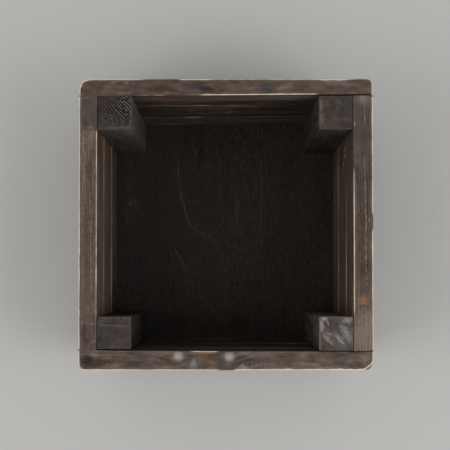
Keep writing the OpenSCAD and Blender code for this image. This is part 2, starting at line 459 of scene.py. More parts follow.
def stained_wood(name, shades, ring_gap, ring_show, rough_low, bump_depth, scratch, scratch_wide,
                 reddish, gloss, fine=1.0, mottle=0.95, flecks=0, sawn=None, ply=None,
                 chalk=((0.15, 0.128, 0.112), (0.36, 0.325, 0.295))):
    """Stain over growth rings, fibres and blotches, with rubbed arrises, marks and scratches.
    Rings are equal steps of distance from the pith, bent by slow noise along the grain."""
    wood = Finish(name)
    grain = wood.add("ShaderNodeAttribute", {"attribute_name": "grain"}, {}, "Vector")

    def parts(attribute):
        return wood.split(wood.add("ShaderNodeAttribute", {"attribute_name": attribute}, {}, "Vector"))

    edge, worn, amber = parts("arris")
    pale, grey, red = parts("marks")
    tone, top, level = parts("tone")
    off_line, line_depth, calm = parts("score")

    def noise(along, across, detail, roughness=0.55):
        return wood.noise(grain, (along, across, across), detail, roughness)

    cloud = noise(0.07, 0.15, 3)
    slow = noise(0.005, 0.03, 2)
    bend = noise(0.02, 0.1, 2)
    fibre = noise(0.018, 0.5 * fine, 5, 0.68)
    pores = noise(0.10, 1.9, 3, 0.6)
    blotch = noise(0.012, 0.085, 4, 0.62)
    speck = noise(0.42, 0.55, 4, 0.75)
    ragged = noise(0.14, 0.5, 4, 0.65)

    across = wood.add("ShaderNodeVectorMath", {"operation": "MULTIPLY"}, {0: grain, 1: (0, 1, 1)})
    radius = wood.add("ShaderNodeVectorMath", {"operation": "LENGTH"}, {0: across}, "Value")
    count = (radius + slow * 22 + bend * 4) / ring_gap
    ring = count.math("FRACT")
    late = wood.fade(ring, 0.35, 0.85) - wood.fade(ring, 0.9, 1.0)

    streaks = (blotch - 0.5) * mottle + (late - 0.42) * ring_show
    depth = 0.5 + streaks * (1 - 0.6 * top) + (fibre - 0.5) * (0.9 - 0.25 * top - 0.42 * calm)
    depth = depth + (pores - 0.5) * (0.8 - 0.6 * calm) + (speck - 0.5) * (1.15 - 0.85 * calm)
    depth = depth + (cloud - 0.5) * 1.25 * calm + tone
    if flecks:
        fleck = noise(0.11, 0.8, 4, 0.7)
        depth = depth + (wood.fade(fleck, 0.52, 0.72) - wood.fade(fleck, 0.48, 0.3)) * flecks
    colour = wood.add("ShaderNodeValToRGB", {"stops": shades}, {"Fac": depth})
    warm = wood.fade(slow + blotch * 0.5 + tone * 0.2, 0.62, 0.95)
    colour = wood.blend(warm * 0.35 + wood.fade(cloud, 0.46, 0.62) * calm * 0.2, colour, reddish)
    colour = wood.blend(grey * 0.38, colour, tuple(0.9 * shades[2][1][1] for _ in range(3)))
    red_on = wood.fade(red + (speck - 0.5) * 1.0 + (fibre - 0.5) * 0.6, 0.15, 1.3)
    colour = wood.blend(red_on * 0.6, colour, reddish)
    amber_on = wood.fade(amber + (speck - 0.5) * 1.6, 0.35, 1.3)
    colour = wood.blend(amber_on * 0.8, colour, AMBER)
    if sawn:
        stroke_along, kerf_show, stroke = parts("saw")
        lined = wood.add("ShaderNodeCombineXYZ", {}, {0: stroke_along * 0.4, 1: stroke, 2: 0.0})
        dash = wood.noise(lined, (1, 1, 1), 3, 0.65)
        shred = wood.noise(lined, (0.55, 1.5, 1), 4, 0.7)
    torn = (shred - 0.5) * 1.9 if sawn else (fibre - 0.5) * 0.25
    pale_on = wood.fade(pale + (speck - 0.5) * 0.55 + torn * wood.fade(pale, 0.0, 0.3), 0.1, 1.05)
    rubbed = wood.blend(pale_on, *chalk)
    colour = wood.blend(pale_on, colour, rubbed)
    size = (off_line + (speck - 0.5) * 1.8).math("ABSOLUTE")
    line_on = (1 - wood.fade(size, 0.2 * scratch_wide, scratch_wide)) * line_depth
    line_on = line_on * wood.fade(ragged, 0.36, 0.6) * wood.fade(speck, 0.36, 0.5)
    colour = wood.blend(line_on, colour, scratch)
    kerf_drop = 0.0
    if sawn:
        kerf = (stroke * 6.2832).math("SINE")
        ridge = wood.fade(0 - kerf, 0.0, 0.8) * kerf_show * kerf_show * wood.fade(dash, 0.42, 0.58)
        slot = wood.fade(kerf, -0.5, 0.3) * kerf_show * wood.fade(dash, 0.62, 0.46)
        colour = wood.blend(ridge * 0.55, colour, sawn)
        colour = wood.blend(slot, colour, KERF_SHADOW)
        kerf_drop = slot

    scuff = wood.fade(noise(0.045, 0.26, 5, 0.72), 0.57, 0.72) * (1 - top)
    colour = wood.blend(scuff * 0.4, colour, tuple(1.7 * part for part in shades[2][1]))
    if ply:
        thickness, end_grain, glue = ply
        place = wood.add("ShaderNodeTexCoord", {}, {}, "Object")
        layer = wood.split(place)[2] * (1 / (thickness * MM))
        turned = (layer * 3.14159).math("SINE")
        seam = turned.math("ABSOLUTE")
        edge_on = 1 - wood.fade(level, 0.1, 0.5)
        colour = wood.blend(edge_on * wood.fade(turned, -0.15, 0.15) * 0.65, colour, end_grain)
        colour = wood.blend(edge_on * (1 - wood.fade(seam, 0.08, 0.34)), colour, glue)

    reach = 0.32 + worn * (0.3 + ragged * 1.2)
    bare = (1 - wood.fade(edge - reach, -0.3, 0.25)) * wood.fade(worn + (ragged - 0.5) * 0.7, 0.15, 0.55)
    wash = (1 - wood.fade(edge - reach * 2.2, -0.8, 1.4)) * wood.fade(worn, 0.1, 0.7)
    colour = wood.blend(wash * 0.35, colour, WASHED)
    pine = wood.blend(wood.fade(worn, 0.35, 0.85), DULL_PINE, BARE_PINE)
    bare_wood = wood.blend(wood.fade(fibre, 0.3, 0.7) * 0.5, pine, PINE_FIBRE)
    bare_wood = wood.blend(amber_on, bare_wood, RESIN)
    colour = wood.blend(bare, colour, bare_wood)

    height = fibre * 0.5 + pores * 0.35 + late * 0.3 + speck * 0.4 - line_on * 0.6 - kerf_drop
    normal = wood.add("ShaderNodeBump", {}, {"Strength": 0.7, "Distance": bump_depth, "Height": height})
    wood.put(wood.shader, {
        "Base Color": colour, "Normal": normal,
        "Roughness": rough_low + (fibre - 0.5) * 0.25 + bare * 0.14 + pale_on * 0.08})
    wood.shader.inputs["Specular IOR Level"].default_value = gloss
    return wood


BOARD_SHADES = [(0.02, (0.012, 0.0086, 0.0068)), (0.34, (0.038, 0.0275, 0.0215)),
                (0.64, (0.086, 0.0640, 0.0505)), (0.98, (0.190, 0.1500, 0.1240))]
board_finish = stained_wood(
    "stained_boards", BOARD_SHADES, 2.9, 0.26, 0.62, 0.00035, (0.25, 0.215, 0.185), 0.75,
    (0.080, 0.046, 0.031), 0.14)


def nail_rows(side, course):
    """Nail places on a board's outer face: two at each post, one of them low and one high. The
    one nearer the middle is the low one in the front and back walls, else the high one."""
    across = side in ("front", "back")
    low, high = (np.array(corner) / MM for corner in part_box(f"{side}_board_{course}"))
    up, down = (NAIL_NEAR, NAIL_FAR) if across else (NAIL_FAR, NAIL_NEAR)
    heights = (low[2] + up, high[2] - down)
    places = []
    for end in ("left", "right") if across else ("front", "back"):
        corners = np.array(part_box(f"post_{side}_{end}" if across else f"post_{end}_{side}")) / MM
        middle = corners[:, 0 if across else 1].mean()
        outward = np.sign(middle)
        places.append((middle - outward * NAIL_HALF_PAIR, heights[0]))
        places.append((middle + outward * NAIL_HALF_PAIR, heights[1]))
    return places


def wall(side, seed, pith, wear, marks, outside, tone, end_wear, calm, inside={}, joint_marks={},
         tracks=(), knocks=(), skew=None):
    """The three boards of one wall, from the floor up, each in place of its CAD node. pith and
    wear hold one entry for each. marks and tracks are those of the rim, joint_marks those of the
    two joints below it, and only the rim's corners are rounded further than CORNER_ROUND."""
    across = side in ("front", "back")
    outer = -1 if side in ("front", "left") else 1
    for number, course in enumerate(COURSES):
        node = f"{side}_board_{course}"
        top = course == "top"
        piece = timber(
            node, (0, 2, 1) if across else (1, 2, 0), *SKIN_STEP[course], seed + number, pith[number],
            wear[number],
            ((1, 1) if across else (0.05, 0.05), (0.05, 0.5 if top else 0.05), (1, 0.6)[::outer]),
            nails=nail_rows(side, course), outer=outer, end_wear=end_wear,
            knocks=[(sign, radius if top else CORNER_ROUND, *rest) for sign, radius, *rest in knocks],
            marks=marks if top else joint_marks, tracks=tracks if top else (), inner_marks=inside,
            outer_marks=outside, skew=skew, tone=tone, calm=calm)
        piece.data.materials.append(board_finish.material)


# How worn each long arris is along the board, as (place in mm, amount). Arrises 0 and 1 are the
# lower ones, 2 and 3 the upper ones. 0 and 2 are on the side of smaller X or Y, 1 and 3 opposite.
# Marks by kind: pale chafes, amber resin, dark, light, grey or red stain, saw cuts; one dark is painted
# shadow.
FRONT_TOP_WEAR = {
    3: [(-152, .45), (-120, .36), (-90, .30), (-70, .20), (-40, .20), (-32, .8), (-12, .9), (-5, .16),
        (20, .20), (60, .29), (82, .29), (88, .1), (152, .1)],
    2: [(-152, 1.2), (-144, 1.0), (-100, 1.05), (-78, .7), (-70, 1.0), (-10, .9), (-5, .45), (8, .45),
        (11, 1.1), (60, 1.4), (152, 1.6)],
}
FRONT_JOINT_WEAR = {
    2: [(-152, .35), (152, .4)],
    3: [(-150, .3), (-60, .55), (80, .5), (150, .3)],
}
FRONT_MARKS = {
    "pale": [(-49.2, -136.4, 7, 6, .78), (-33.6, -143.4, 8.4, 12, .56, 86, 1.7), (3.4, -137, 7, 6.2, .76),
        (17, -148.4, 6.4, 14, .6, 94, 1)],
    "amber": [(-136, -135, 6, 2, .36), (-57, -147.6, 7, 1.5, .3), (-20, -132, 11.5, 2.4, 1.5),
        (-14.5, -148.6, 4.5, 1.8, .9), (-19, -136, 8, 4, .34)],
    "dark": [(-144, -141.4, 8, 7, .42), (-135, -143.5, 10, 5, .2), (-131, -141, 3, 2.5, .26),
        (-115.5, -137.5, 3.4, 4.5, .16), (-97, -134.2, 6, 1.6, .2), (-90, -143, 6, 1.1, .24),
        (-67.5, -138.6, 13, .9, .34, -11), (-72, -143.8, 8, 1.2, .2, -5), (-6.5, -142, 4.5, 7, .14),
        (-10.4, -140, .7, 5, .2, 6), (6, -134.4, 1.2, 1.2, .3), (22, -140.6, 15, 1.3, .3, 17),
        (17, -136.6, 7, .8, .3, 14), (40, -140.6, 12, 4.6, .2, 4), (50, -138.5, 16, 1, .18, 8),
        (24.4, -146, .8, 3.2, .42), (28.6, -146, .6, 2.5, .24), (33.2, -145.6, .9, 3.2, .36),
        (38.2, -144.4, .9, 3.4, .32), (43.6, -143, 1.2, 3.4, .24), (71, -139, 11, 5, .1),
        (6, -149.2, 8, .8, .2)],
    "light": [(-137, -135, 7, 2.2, .24), (-117, -146, 11, 3, .22), (-63, -134.4, 12, 2.4, .22),
        (-58, -147, 8, 1.8, .2), (-49.4, -136.4, 8, 6, .42), (3.4, -136.6, 6.4, 5.4, .4),
        (17, -134.2, 8, 2, .16), (21, -138.2, 13, 1.2, .2, 16), (44, -136.4, 14, 1, .14, 10),
        (108, -142, 40, 4, .06)],
    "grey": [(-84, -139, 22, 8, .5), (-49.4, -136.4, 8, 6, 1.4), (-34, -144, 8, 7, 1.2),
        (-6, -141, 7, 8, 1.2), (30, -139, 20, 6, 1, 10), (114, -134.8, 26, 3.4, .7)],
    "red": [(-130, -142, 14, 6, .6), (-117, -145, 12, 4, .6), (-21, -141, 10, 8, 1.1),
        (71, -139, 12, 6, .8)],
}
FRONT_OUTSIDE = {
    "pale": [(38, 158, 13, .9, .75, 14), (44, 154, 7, .7, .6, 16), (-24, 120, 8, .8, .6, -38),
        (-104, 30, 16, .9, .7, 5), (118, 22, 14, 3, .45), (-130, 17, 12, 2.4, .5)],
    "dark": [*JOINT_LINES, (96, 181, 30, 12, .14), (-96, 92, 34, 12, .14, 3), (60, 44, 30, 9, .12)],
    "light": [(-70, 172, 46, 9, .12, 4), (88, 108, 52, 14, .12, -3), (-30, 40, 60, 12, .1)],
    "grey": [(0, 190, 90, 8, .5)],
    "red": [(30, 100, 60, 18, .4, 2)],
}


def rim_and_sides(points, normals, axis, places, shades, sides):
    """Shade of a board: along its upper edge by place, and that of its sides everywhere else."""
    rim = np.maximum(normals[:, 2], 0) ** 2
    return rim * np.interp(points[:, axis], places, shades) + (1 - rim) * sides


def front_skew(points, normals):
    """The front boards are a little thicker at the left: inside points move in by up to 0.9 mm."""
    inside = smooth(points[:, 1], -146, -134)
    points[:, 1] += inside * np.interp(points[:, 0], [-152, 0, 152], [0.9, 0.1, -0.3])


def front_stain_and_shade(points, normals):
    """Stain on the front boards, with painted shade: the inside face is 0.24 darker than the outside."""
    sides = np.interp(points[:, 2], JOINT_HEIGHTS, [.11, -.08, -.08, .04])
    # Painted shade: the inside faces are made 0.24 darker than the outside faces.
    sides = sides + np.where(normals[:, 1] > 0.4, -0.20, 0.04)
    return rim_and_sides(points, normals, 0, [-152, -80, 40, 152], [.08, .12, .12, .09], sides)


wall("front", 11, ((12, -66), (-29, -31), (34, 16)),
     (FRONT_JOINT_WEAR, FRONT_JOINT_WEAR, FRONT_TOP_WEAR), FRONT_MARKS, FRONT_OUTSIDE, front_stain_and_shade,
     end_wear=(1.3, 1.5), calm=1.0, skew=front_skew,
     knocks=[((-1, -1), (6.4, 6.4), 2.0, 16), ((1, -1), (11.5, 8.4), 1.3, 14)])

# Back wall: like the front one but of thinner boards, and the most scuffed along its rim.
# Its left corner has been knocked round, and two grey knots show in its upper edge.
BACK_TOP_WEAR = {
    2: [(-152, .5), (-126, .15), (-100, .2), (-92, .4), (-68, .45), (-58, .2), (-30, .4), (-22, .75),
        (60, .85), (92, .7), (100, .15), (152, .12)],
    3: [(-152, 1.5), (-142, 1.3), (-134, .9), (-90, .8), (-84, .42), (-60, .3), (-50, .35), (-46, .85),
        (-22, .9), (-16, .62), (50, .62), (92, .7), (100, 1.1), (121, 1.1), (128, .6), (138, .3),
        (146, .5), (152, 1.0)],
}
BACK_MARKS = {
    "pale": [(-103.4, 147.2, 3, 4.4, .46, -10), (-116, 148, 3.6, 1.6, .46, 20),
        (-96, 146.4, 3.2, 1.4, .38, -30), (-61, 136.4, 5, 1.6, .48), (.5, 136.8, 4, .9, .4),
        (85.8, 142.2, 1.2, 2.8, .36), (130, 145.6, 9, 2.4, .34, 22), (100, 141, .7, 6, .3, 4)],
    "amber": [(-110, 136.4, 13, 1.8, .5)],
    "dark": [(-138.4, 145.2, 3.2, 2.6, .26), (-134, 142, 7, 3, .12, 10), (-103.6, 139.8, 4.4, 2.4, .3),
        (-95, 136.2, 3, 1.4, .3), (-69, 140, 12, 2.2, .12), (-35, 142, 7, 5, .1),
        (-19.5, 140, 7.5, 4.5, .12, -20), (41, 144.8, 1.8, 2.4, .36), (47, 143, 8, 4.6, .16),
        (82, 143, 5, 3.6, .2)],
    "light": [(-123, 139.5, 7, 4.5, .24, 20), (-117, 146, 4, 3, .14), (-108, 143.5, 8, 4, .12),
        (-110, 136.6, 13, 2, .26), (-90, 145, 16, 3, .12), (10, 143, 22, 5, .1), (110, 148.4, 13, 2.4, .3),
        (98, 139, 8, 3, .12)],
    "grey": [(-121, 140, 10, 6, 1), (-104, 143, 16, 6, .8), (-88, 143, 12, 6, .6), (-35, 141, 9, 7, 1),
        (47, 143.6, 8, 5, 2), (80, 143, 8, 4.5, 1.4), (122, 141, 12, 5, .9)],
    "red": [(-137, 144, 8, 6, 1.1), (-103.6, 139.4, 6, 3, .5), (-68, 140, 13, 3, .75), (8, 139, 14, 3, .7),
        (32, 138, 8, 4, .7), (64, 140, 8, 5, .7), (143.5, 145, 6, 5, 1)],
}
BACK_MIDDLE_WEAR = {
    2: [(-100, .1), (-92, .3), (-60, .4), (-48, .2), (-36, .5), (-18, .5), (-14, .3), (-2, .3), (2, .5),
        (24, .45), (28, .2), (100, .1)],
    3: [(-150, .3), (0, .5), (150, .4)],
}
BACK_BOTTOM_WEAR = {
    2: [(-98, .1), (-94, .42), (-84, .42), (-82, .15), (-68, .15), (-66, .4), (-53, .4), (-50, .2),
        (-47, .55), (-27, .55), (-24, .2), (20, .2), (24, .36), (56, .36), (60, .1)],
    3: [(-150, .5), (0, .3), (150, .4)],
}
BACK_INSIDE = {
    "pale": [(-29, 145, 8, 5, .55, 8), (10, 142, 13, 5, .45, -5), (-62, 143, 11, 3.6, .3, -4),
        (-40, 110, 5, 3.4, .55), (4, 101, 11, 3.2, .6, 50), (-66, 16, 14, 4, .6), (-91, 66, 6, 5, .5),
        (-60, 66, 9, 5, .42), (-39, 66, 12, 5, .85), (36, 66, 20, 5, .4)],
    "dark": [(76, 166, 60, 12, .14, 2), (-80, 163, 46, 4, .1), (94, 172, 20, 30, .22),
        (0, 152, 110, 4, .16), (-74, 106, 42, 7, .16, 2), (30, 122, 44, 5, .12), (-66, 104, 27, 22, .22, 2),
        (18, 121, 13, 11, .36, -12)],
    "light": [(-34, 142, 66, 4, .2), (14, 142.5, 16, 4, .16), (-10, 128, 50, 4, .16, 3),
        (-20, 108, 24, 18, .1), (-66, 20, 40, 6, .16), (70, 96, 40, 5, .1), (-30, 88, 70, 6, .08),
        (-50, 40, 60, 20, .06)],
    "grey": [(0, 40, 130, 40, 1.2), (-60, 116, 44, 9, .9), (16, 110, 34, 9, .9, -4),
        (-66, 104, 30, 24, 1.6)],
    "red": [(-10, 184, 150, 16, .55), (10, 38, 120, 24, .45)],
}
BACK_OUTSIDE = {
    "pale": [(-20, 166, 16, .9, .7, -9), (90, 124, 9, .8, .6, 30), (20, 40, 20, .9, .6, 3),
        (-126, 18, 16, 2.6, .5)],
    "dark": [*JOINT_LINES, (-80, 182, 40, 10, .12), (70, 96, 46, 14, .12)],
    "light": [(60, 176, 60, 10, .12, -2), (-70, 112, 60, 12, .12, 3), (100, 30, 40, 10, .12)],
    "grey": [(10, 188, 100, 8, .5)],
    "red": [(-10, 60, 80, 16, .4)],
}


def back_skew(points, normals):
    """The back boards thin out to the right: inside points move by -0.8 to +1.1 mm."""
    inside = 1 - smooth(points[:, 1], 137, 149)
    points[:, 1] += inside * np.interp(points[:, 0], [-152, 0, 152], [-0.8, 0.0, 1.1])


def back_tone(points, normals):
    """Stain on the back boards, lightest along the right half of the rim."""
    inside = smooth(-normals[:, 1], 0.2, 0.8)
    depth = np.interp(points[:, 2], [12, 50, 67, 69, 130, 142, 150, 160, 172, 184, 197, 203],
                      [.0, .05, .06, -.17, -.15, -.04, -.10, -.08, .17, .20, .12, .0])
    streaks = 0.34 * patchy(points, (64, 40, 6), 27) - 0.17 + 0.2 * patchy(points, (30, 40, 2.6), 28) - 0.1
    outside = np.interp(points[:, 2], JOINT_HEIGHTS, [-.04, .11, .11, -.05])
    sides = inside * (depth + streaks) + (1 - inside) * outside
    return rim_and_sides(points, normals, 0, [-152, -20, 60, 152], [-.03, -.05, .05, .18], sides)


wall("back", 21, ((6, 61), (-33, 27), (26, -24)), (BACK_BOTTOM_WEAR, BACK_MIDDLE_WEAR, BACK_TOP_WEAR),
     BACK_MARKS, BACK_OUTSIDE, back_tone, end_wear=(1.6, 1.1), calm=0.95, inside=BACK_INSIDE, skew=back_skew,
     knocks=[((-1, 1), (9.5, 12.0), 2.0, 18), ((1, 1), (4.6, 4.6), 2.0, 14)])

# Left wall: three boards that butt between the front and back ones. Their growth rings stand
# on edge, so the rim is striped along its length, and both arrises are rubbed bright.
LEFT_TOP_WEAR = {
    2: [(-131, 1.0), (-60, 1.05), (20, .85), (60, .95), (134, .9)],
    3: [(-131, .2), (-112, .25), (-100, .4), (-84, .6), (-60, .66), (60, .66), (95, .74), (100, .25),
        (134, .15)],
}
LEFT_JOINT_WEAR = {
    2: [(-131, .3), (134, .4)],
    3: [(-131, .55), (-60, .7), (-20, .6), (20, .5), (60, .6), (134, .5)],
}
LEFT_MARKS = {
    "pale": [(-124, -146, 3, 2.6, .42, 30), (-100, -139, .9, 3.4, .45, 20), (-121, -137, 3.4, 1.2, .55, 60),
        (-126, -142, 2.6, 1.8, .5, -40), (-115, -134.8, 2.6, 1, .5)],
    "amber": [(86, -135, 10, 1.6, .45), (-86, -141, 11, 10, .47)],
    "dark": [(112, -138, 12, 3, .14), (104, -145, 6, 4, .12), (126, -142, 5, 5, .12),
        (-112, -142, 13, 8, .08), (-108, -146, 5, 3, .12), (-119, -141, 4, 3, .12, 30),
        (-20, -144.5, 40, 2.2, .12), (50, -141, 30, 2.2, .14), (-122, -139, 9, 3, .1)],
    "light": [(100.5, -143, 3, 8, .12), (-87, -141, 9, 9, .18), (-96, -143, 13, 8, .1),
        (40, -147, 50, 1.6, .12), (-50, -147.5, 40, 1.4, .14)],
    "grey": [(118, -143, 17, 9, .9), (-98, -142, 6, 8, 1), (-118, -141, 12, 8, .3)],
    "red": [(116, -139.5, 14, 3, .8), (84, -136, 9, 3, 1), (-84, -143, 9, 6, .8), (-98, -142, 12, 8, .5)],
}
LEFT_TRACKS = [
    (0.8, (32, -140.6), (0, -139.9), (-30, -139.6), (-68, -139.0)),
    (0.55, (-101.0, -152), (-103.6, -133.5)), (0.35, (84, -147.8), (36, -148.2), (-20, -147.6)),
]
LEFT_JOINT_MARKS = {"amber": [(86, -134, 19, 5, 1.2), (-40, -134, 50, 3, .45)]}
LEFT_INSIDE = {
    "pale": [(-40, 140.6, 70, 5, .62), (-30, 65.4, 80, 5, .62), (100, 154, 16, 2, .4, -20)],
    "amber": [(84, 142, 18, 11, 1.1), (94, 68, 15, 9, .8)],
    # The dark mark at (-96, 38), low at the front, is a painted shadow cast by the front left post.
    "dark": [(0, 158, 120, 4, .12), (0, 127, 120, 5, .12), (0, 40, 150, 18, .16), (-96, 38, 46, 40, .34),
        (-104, 100, 24, 30, .12), (20, 104, 70, 4, .08)],
    "light": [(-66, 142, 60, 9, .34), (34, 142, 60, 9, .26), (0, 67, 120, 7, .38), (-30, 178, 60, 8, .08)],
    "red": [(84, 178, 50, 26, 1.1), (-20, 176, 90, 22, .6), (10, 104, 130, 24, .7)],
}
LEFT_OUTSIDE = {
    "pale": [(10, 150, 12, .8, .7, -22), (-40, 118, 18, .9, .65, 6), (-112, 20, 12, 2.6, .5)],
    "dark": [*JOINT_LINES, (-60, 170, 40, 12, .12), (70, 110, 34, 14, .12)],
    "light": [(40, 178, 50, 10, .12, 2), (-50, 96, 60, 12, .12), (60, 36, 50, 12, .12)],
    "red": [(0, 130, 70, 20, .4)],
}


def left_tone(points, normals):
    """Stain on the left boards: a touch lighter towards the front half of the rim."""
    inside = np.interp(points[:, 2], [12, *JOINT_HEIGHTS, 203], [.10, .18, .22, .24, .30, .27])
    outside = np.interp(points[:, 2], JOINT_HEIGHTS, [-.06, .10, .10, -.02])
    return rim_and_sides(
        points, normals, 1, [-131, -96, -80, 57, 90, 96.3, 97.3, 134],
        [.02, .03, .08, .10, .24, .24, .06, .06], np.where(normals[:, 0] > 0, inside, outside))


wall("left", 31, ((-4, 33), (30, -44), (-24, 60)), (LEFT_JOINT_WEAR, LEFT_JOINT_WEAR, LEFT_TOP_WEAR),
     LEFT_MARKS, LEFT_OUTSIDE, left_tone, end_wear=(0.08, 0.08), calm=0.3, inside=LEFT_INSIDE,
     joint_marks=LEFT_JOINT_MARKS, tracks=LEFT_TRACKS)

# Right wall: the thickest boards. A fine dashed crack runs along its upper edge, a sappy knot
# shows orange near the front, and the front end is planed smoother and paler.
RIGHT_TOP_WEAR = {
    2: [(-131, .3), (-96, .35), (-90, .8), (-20, 1.0), (50, .9), (60, .35), (100, .3), (134, .2)],
    3: [(-131, 1.0), (-10, 1.0), (-3, .35), (9, .4), (14, .9), (80, .85), (134, .95)],
}
RIGHT_JOINT_WEAR = {
    2: [(-131, .7), (-80, .75), (0, .65), (36, .5), (52, .25), (70, .3), (100, .5), (134, .4)],
    3: [(-131, .4), (134, .4)],
}
RIGHT_MARKS = {
    "pale": [(130.5, 142.4, 6, 6.8, .5), (58, 141, 6, 6, .22), (104.3, 133.4, 3.5, 1, .7),
        (60.5, 142.2, 3.6, 3.6, .42), (-76.5, 141, 3.4, 4.6, .36), (-24, 144.8, 40, 1.3, .42),
        (8, 144.8, 18, 1.2, .36), (-90.6, 141, .9, 9, .4), (-52, 147, 10, 2, .3, -20),
        (4, 148.5, 2.2, 2.4, .5, 35), (-2.5, 149.6, 3, .8, .5)],
    "amber": [(-79.6, 141.6, 6.2, 7.4, .96), (-86.2, 141.4, 3.6, 5.6, .7)],
    "dark": [(100, 142, 26, 9, .14), (60.5, 142.2, 1.9, 1.9, .3), (0, 141, 46, 5, .12),
        (-84.6, 141.6, 1.1, 2.4, .5), (-30, 143, 34, 4, .12), (12, 146, 34, .9, .42, 1),
        (-42, 146.2, 24, .9, .46, 1), (-85.4, 139.6, 1.2, 1.2, .5)],
    "light": [(129.5, 142.4, 5.6, 7.5, .45), (66, 142, 7, 9, .12), (-79.5, 141.4, 7, 6, .16),
        (-112, 142, 20, 9, .16)],
    "grey": [(129, 142, 8, 10, 1.4), (98, 142, 34, 10, .9), (40, 142, 30, 8, .45), (-20, 147, 50, 4, .4)],
    "red": [(123, 138, 3.2, 5, .8), (-81, 141.6, 8, 7, 1), (-88, 136, 16, 3, .4)],
}
RIGHT_TRACKS = [
    (0.9, (124, 143.6), (103, 144.0)), (0.8, (70, 143.6), (52, 143.9)),
    (0.95, (44, 144.2), (20, 144.6), (0, 145.2), (-16, 144.4)),
    (1.0, (-24, 144.6), (-40, 144.9), (-62, 145.8)),
]
RIGHT_JOINT_MARKS = {
    "amber": [(-60, 133, 80, 5, .8), (54, 133, 12, 5, .8)], "red": [(54, 133, 14, 5, 1.2)],
}
RIGHT_INSIDE = {
    "pale": [(88, 130, 3.6, 10, .75, 12), (80, 126, 3.6, 11, .8, -14), (72.5, 118, 3.6, 10, .7, 10),
        (65, 108, 4, 10, .55), (57, 98, 5, 9, .45), (-50, 140, 46, 5.5, .78), (54, 65, 42, 6, .8),
        (-50, 65, 50, 5, .55)],
    "amber": [(56, 142, 9, 4, .6), (-70, 145, 50, 7, .45)],
    "dark": [(81, 97, 17, 13, .32), (-20, 128, 100, 4, .18), (-60, 152, 60, 5, .34), (-10, 54, 110, 4, .14),
        (100, 40, 40, 40, .16)],
    "light": [(-44, 142, 66, 8, .44), (0, 67, 120, 7, .46), (-30, 178, 60, 10, .06)],
    "grey": [(74, 118, 28, 26, 1.6)],
    "red": [(0, 172, 170, 40, .85), (0, 100, 170, 40, .85), (0, 40, 170, 30, .8), (56, 140, 12, 10, .9)],
}
RIGHT_OUTSIDE = {
    "pale": [(20, 156, 15, .8, .7, 12), (-10, 88, 10, .8, .6, -30), (60, 34, 18, .9, .6, -4),
        (112, 19, 14, 2.6, .5)],
    "dark": [*JOINT_LINES, (60, 174, 40, 10, .12), (-70, 110, 34, 12, .12, 2)],
    "light": [(-50, 176, 50, 10, .12, -2), (40, 104, 60, 14, .12), (-60, 34, 50, 12, .12)],
    "grey": [(0, 190, 90, 8, .5)],
}


def right_tone(points, normals):
    """Stain on the right boards: darkest at the back and middle, lightest at the front."""
    inside = np.interp(points[:, 2], [12, *JOINT_HEIGHTS, 203], [.18, .24, .24, .22, .20, .15])
    inside = inside - 0.10 * smooth(points[:, 1], 60, 110)
    outside = np.interp(points[:, 2], JOINT_HEIGHTS, [.09, -.08, -.08, .08])
    return rim_and_sides(
        points, normals, 1, [-131, -95, -80, -45, 0, 60, 72, 134],
        [.34, .32, .14, .04, .0, -.02, .04, .05], np.where(normals[:, 0] < 0, inside, outside))


wall("right", 41, ((-22, -49), (27, 38), (-14, 52)),
     (RIGHT_JOINT_WEAR, RIGHT_JOINT_WEAR, RIGHT_TOP_WEAR), RIGHT_MARKS, RIGHT_OUTSIDE, right_tone,
     end_wear=(0.08, 0.08), calm=0.5, inside=RIGHT_INSIDE, joint_marks=RIGHT_JOINT_MARKS, tracks=RIGHT_TRACKS)

# Corner posts: four square lengths of sawn softwood, glued and nailed into the corners. Their
# end grain is level with the rim: the saw left slanting marks on two, the others are scuffed.
POST_SHADES = [(0.05, (0.010, 0.0078, 0.0066)), (0.35, (0.028, 0.0225, 0.0195)),
               (0.62, (0.055, 0.0460, 0.0410)), (0.95, (0.120, 0.1060, 0.0960))]
DARK_CHIPS = [(-104.6, 129), (-101, 125), (-108, 125), (-104, 121), (-99.5, 119.5), (-111, 130), (-99, 130),
              (-106, 117), (-101, 115), (-109, 120), (-113, 125), (-100, 110)]
PALE_CHIPS = [(-106.5, 127), (-102.5, 122.6), (-98.6, 122), (-110, 122.8), (-100, 127.5), (-104, 114.4),
              (-98.8, 113), (-107.5, 131), (-113.6, 128.4), (-99, 105)]
BACK_LEFT_MARKS = {
    "dark": [*[(x, y, 2.4, .9, .6, -45) for x, y in DARK_CHIPS], (-103, 127, 12, 9, .2, -30),
        (-116, 114, 9, 9, .1), (-124, 116, 8, 9, .06)],
    "light": [*[(x, y, 2.2, .8, .7, -45) for x, y in PALE_CHIPS], (-122, 108, 14, 9, .22),
        (-112, 100.6, 18, 2, .5), (-98.6, 112, 1.8, 14, .3)],
    "saw": [(-110, 117, 24, 22, .95, 45), (-122, 108, 14, 16, .5), (-103, 125, 15, 20, 1.35, 45)],
}
BACK_RIGHT_MARKS = {
    "pale": [(99.2, 109.5, 4, 8, .5), (98.4, 123, 2.6, 8, .42)],
    "dark": [(102.6, 118.5, 3, 3, .2), (122, 102, 8, 5, .14), (110, 121, 4, 3, .16, 30),
        (121, 115, 4, 5, .13), (106, 112, 3, 4, .14), (103, 131, 4, 1.6, .2)],
    "light": [(102, 128, 7, 7, .12), (102, 106, 10, 12, .1), (98.4, 117, 3, 18, .34), (116, 127, 5, 3, .16),
        (108, 103, 5, 3, .16, 20), (124, 108, 3, 4, .14), (114, 110, 4, 3, .12, -20)],
    "grey": [(126, 122, 8, 14, .8)],
    "red": [(114, 112, 22, 22, .5), (102.6, 118.5, 3, 3.5, 1)],
    "saw": [(104, 108, 12, 12, .3)],
}
